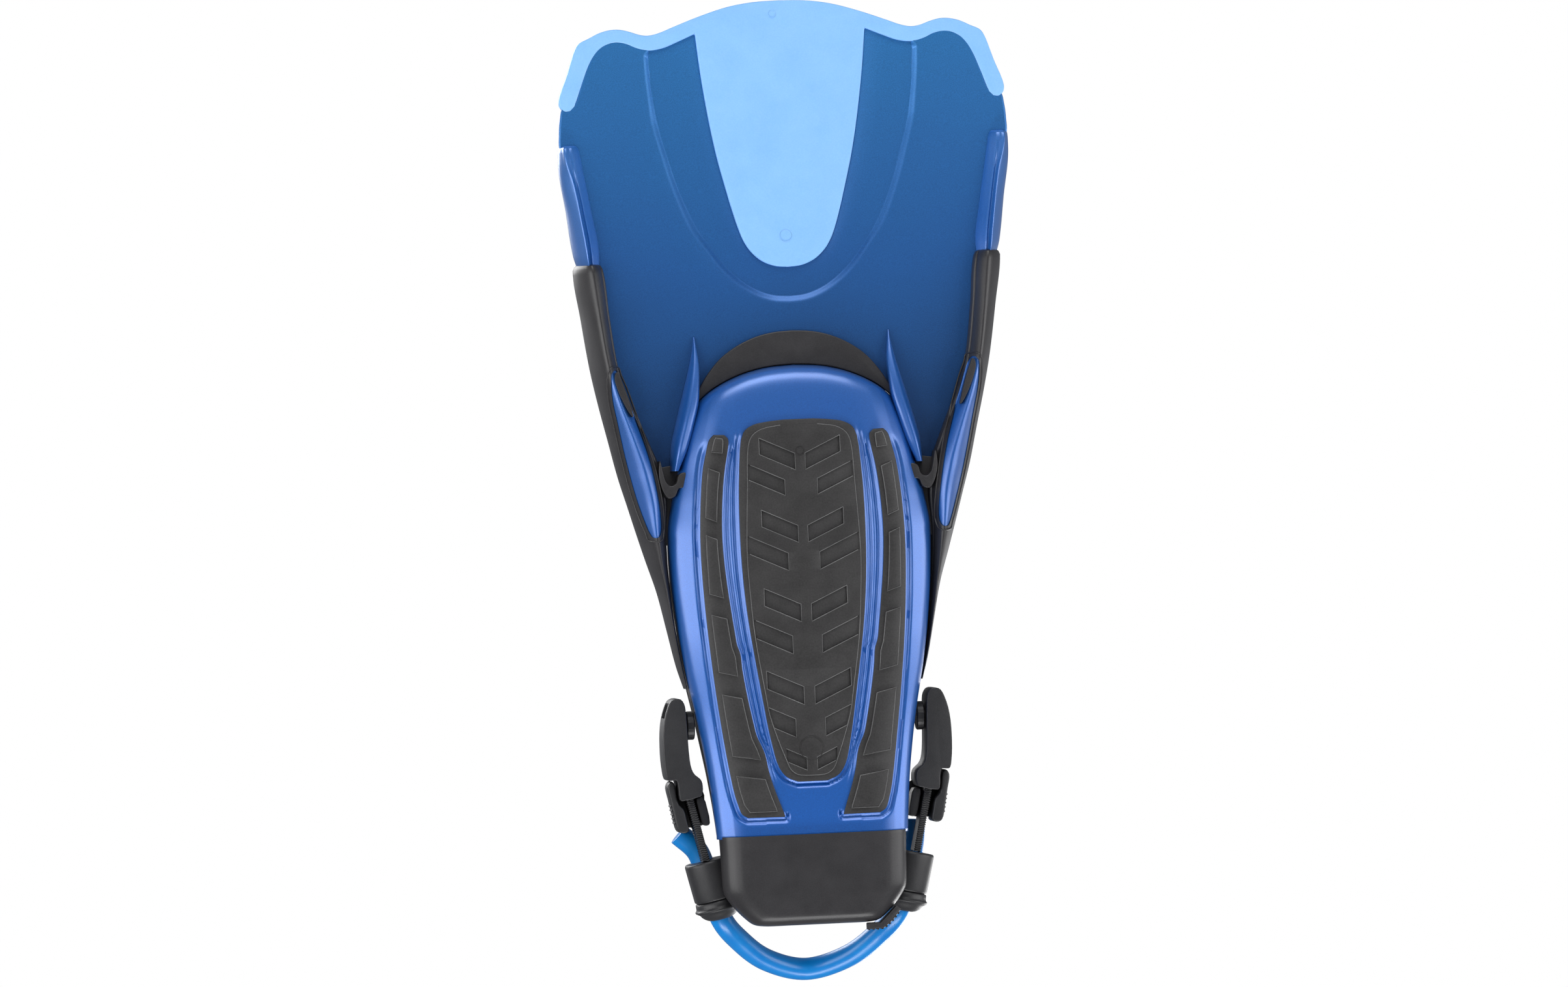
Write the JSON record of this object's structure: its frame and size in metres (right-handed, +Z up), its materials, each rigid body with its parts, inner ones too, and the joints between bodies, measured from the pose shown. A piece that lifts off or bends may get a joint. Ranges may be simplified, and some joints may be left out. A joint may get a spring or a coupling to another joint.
{
  "type": "swim fin",
  "caption": "Open-heel swim fin with a stepped blade, soft tip rubber, overmoulded side rails, rubber foot pocket with treads, ratchet buckles and a tubular heel strap.",
  "frame": {"origin": "centre of the bounding box in plan, on the floor that the sole rests on", "axes": "+X to the wearer's side, +Y from the blade's tip to the heel, +Z up from the sole to the instep"},
  "size_m": [0.2456, 0.533, 0.096],
  "materials": {
    "pearl_blue_plastic": "satin pearl",
    "sky_blue_rubber": "matte",
    "black_rubber": "matte",
    "black_nylon": "fine texture",
    "blue_silicone": "satin",
    "stainless_steel": "satin"
  },
  "bodies": {
    "fin": {"blade": "pearl_blue_plastic", "tip_rubber": "sky_blue_rubber", "toe_crescent": "black_rubber", "sole_plate": "pearl_blue_plastic", "centre_tread": "black_rubber", "pocket_upper": "black_rubber", "heel_cup": "black_rubber", "heel_lug": "black_rubber", "footbed": "black_rubber", "rail_core_right": "pearl_blue_plastic", "rail_core_left": "pearl_blue_plastic", "rail_rubber_right": "black_rubber", "rail_rubber_left": "black_rubber", "window_insert_right": "black_rubber", "window_insert_left": "black_rubber", "bridge_right": "black_rubber", "bridge_left": "black_rubber", "spine_rib_right": "pearl_blue_plastic", "spine_rib_left": "pearl_blue_plastic", "side_tread_right": "black_rubber", "side_tread_left": "black_rubber", "strap_post_right": "black_nylon", "strap_post_left": "black_nylon"},
    "strap_loop": {"buckle_right": "black_nylon", "buckle_left": "black_nylon", "lever_pin_right": "stainless_steel", "lever_pin_left": "stainless_steel", "heel_tube_right": "blue_silicone", "heel_tube_left": "blue_silicone"},
    "strap_right": {"ratchet_strap_right": "black_nylon", "strap_housing_right": "black_nylon", "end_plug_right": "black_nylon"},
    "lever_right": {"release_lever_right": "black_nylon"},
    "strap_left": {"ratchet_strap_left": "black_nylon", "strap_housing_left": "black_nylon", "end_plug_left": "black_nylon"},
    "lever_left": {"release_lever_left": "black_nylon"}
  },
  "joints": [
    {"name": "strap_swing", "type": "hinge", "parent": "fin", "child": "strap_loop", "pos_m": [0, 0.1235, 0.03], "axis": [1, 0, 0], "range_deg": [0, 50]},
    {"name": "strap_reach_right", "type": "slide", "parent": "strap_loop", "child": "strap_right", "axis": [0.2188, -0.9758, 0], "range_m": [-0.015, 0.01], "deforming": ["heel_tube_right"]},
    {"name": "release_right", "type": "hinge", "parent": "strap_loop", "child": "lever_right", "pos_m": [0.0746, 0.1571, 0.03], "axis": [0, 0, -1], "range_deg": [0, 25], "stiffness_Nm_per_rad": 0.05},
    {"name": "strap_reach_left", "type": "slide", "parent": "strap_loop", "child": "strap_left", "axis": [-0.2188, -0.9758, 0], "range_m": [-0.015, 0.01], "deforming": ["heel_tube_left"]},
    {"name": "release_left", "type": "hinge", "parent": "strap_loop", "child": "lever_left", "pos_m": [-0.0746, 0.1571, 0.03], "axis": [0, 0, 1], "range_deg": [0, 25], "stiffness_Nm_per_rad": 0.05}
  ]
}
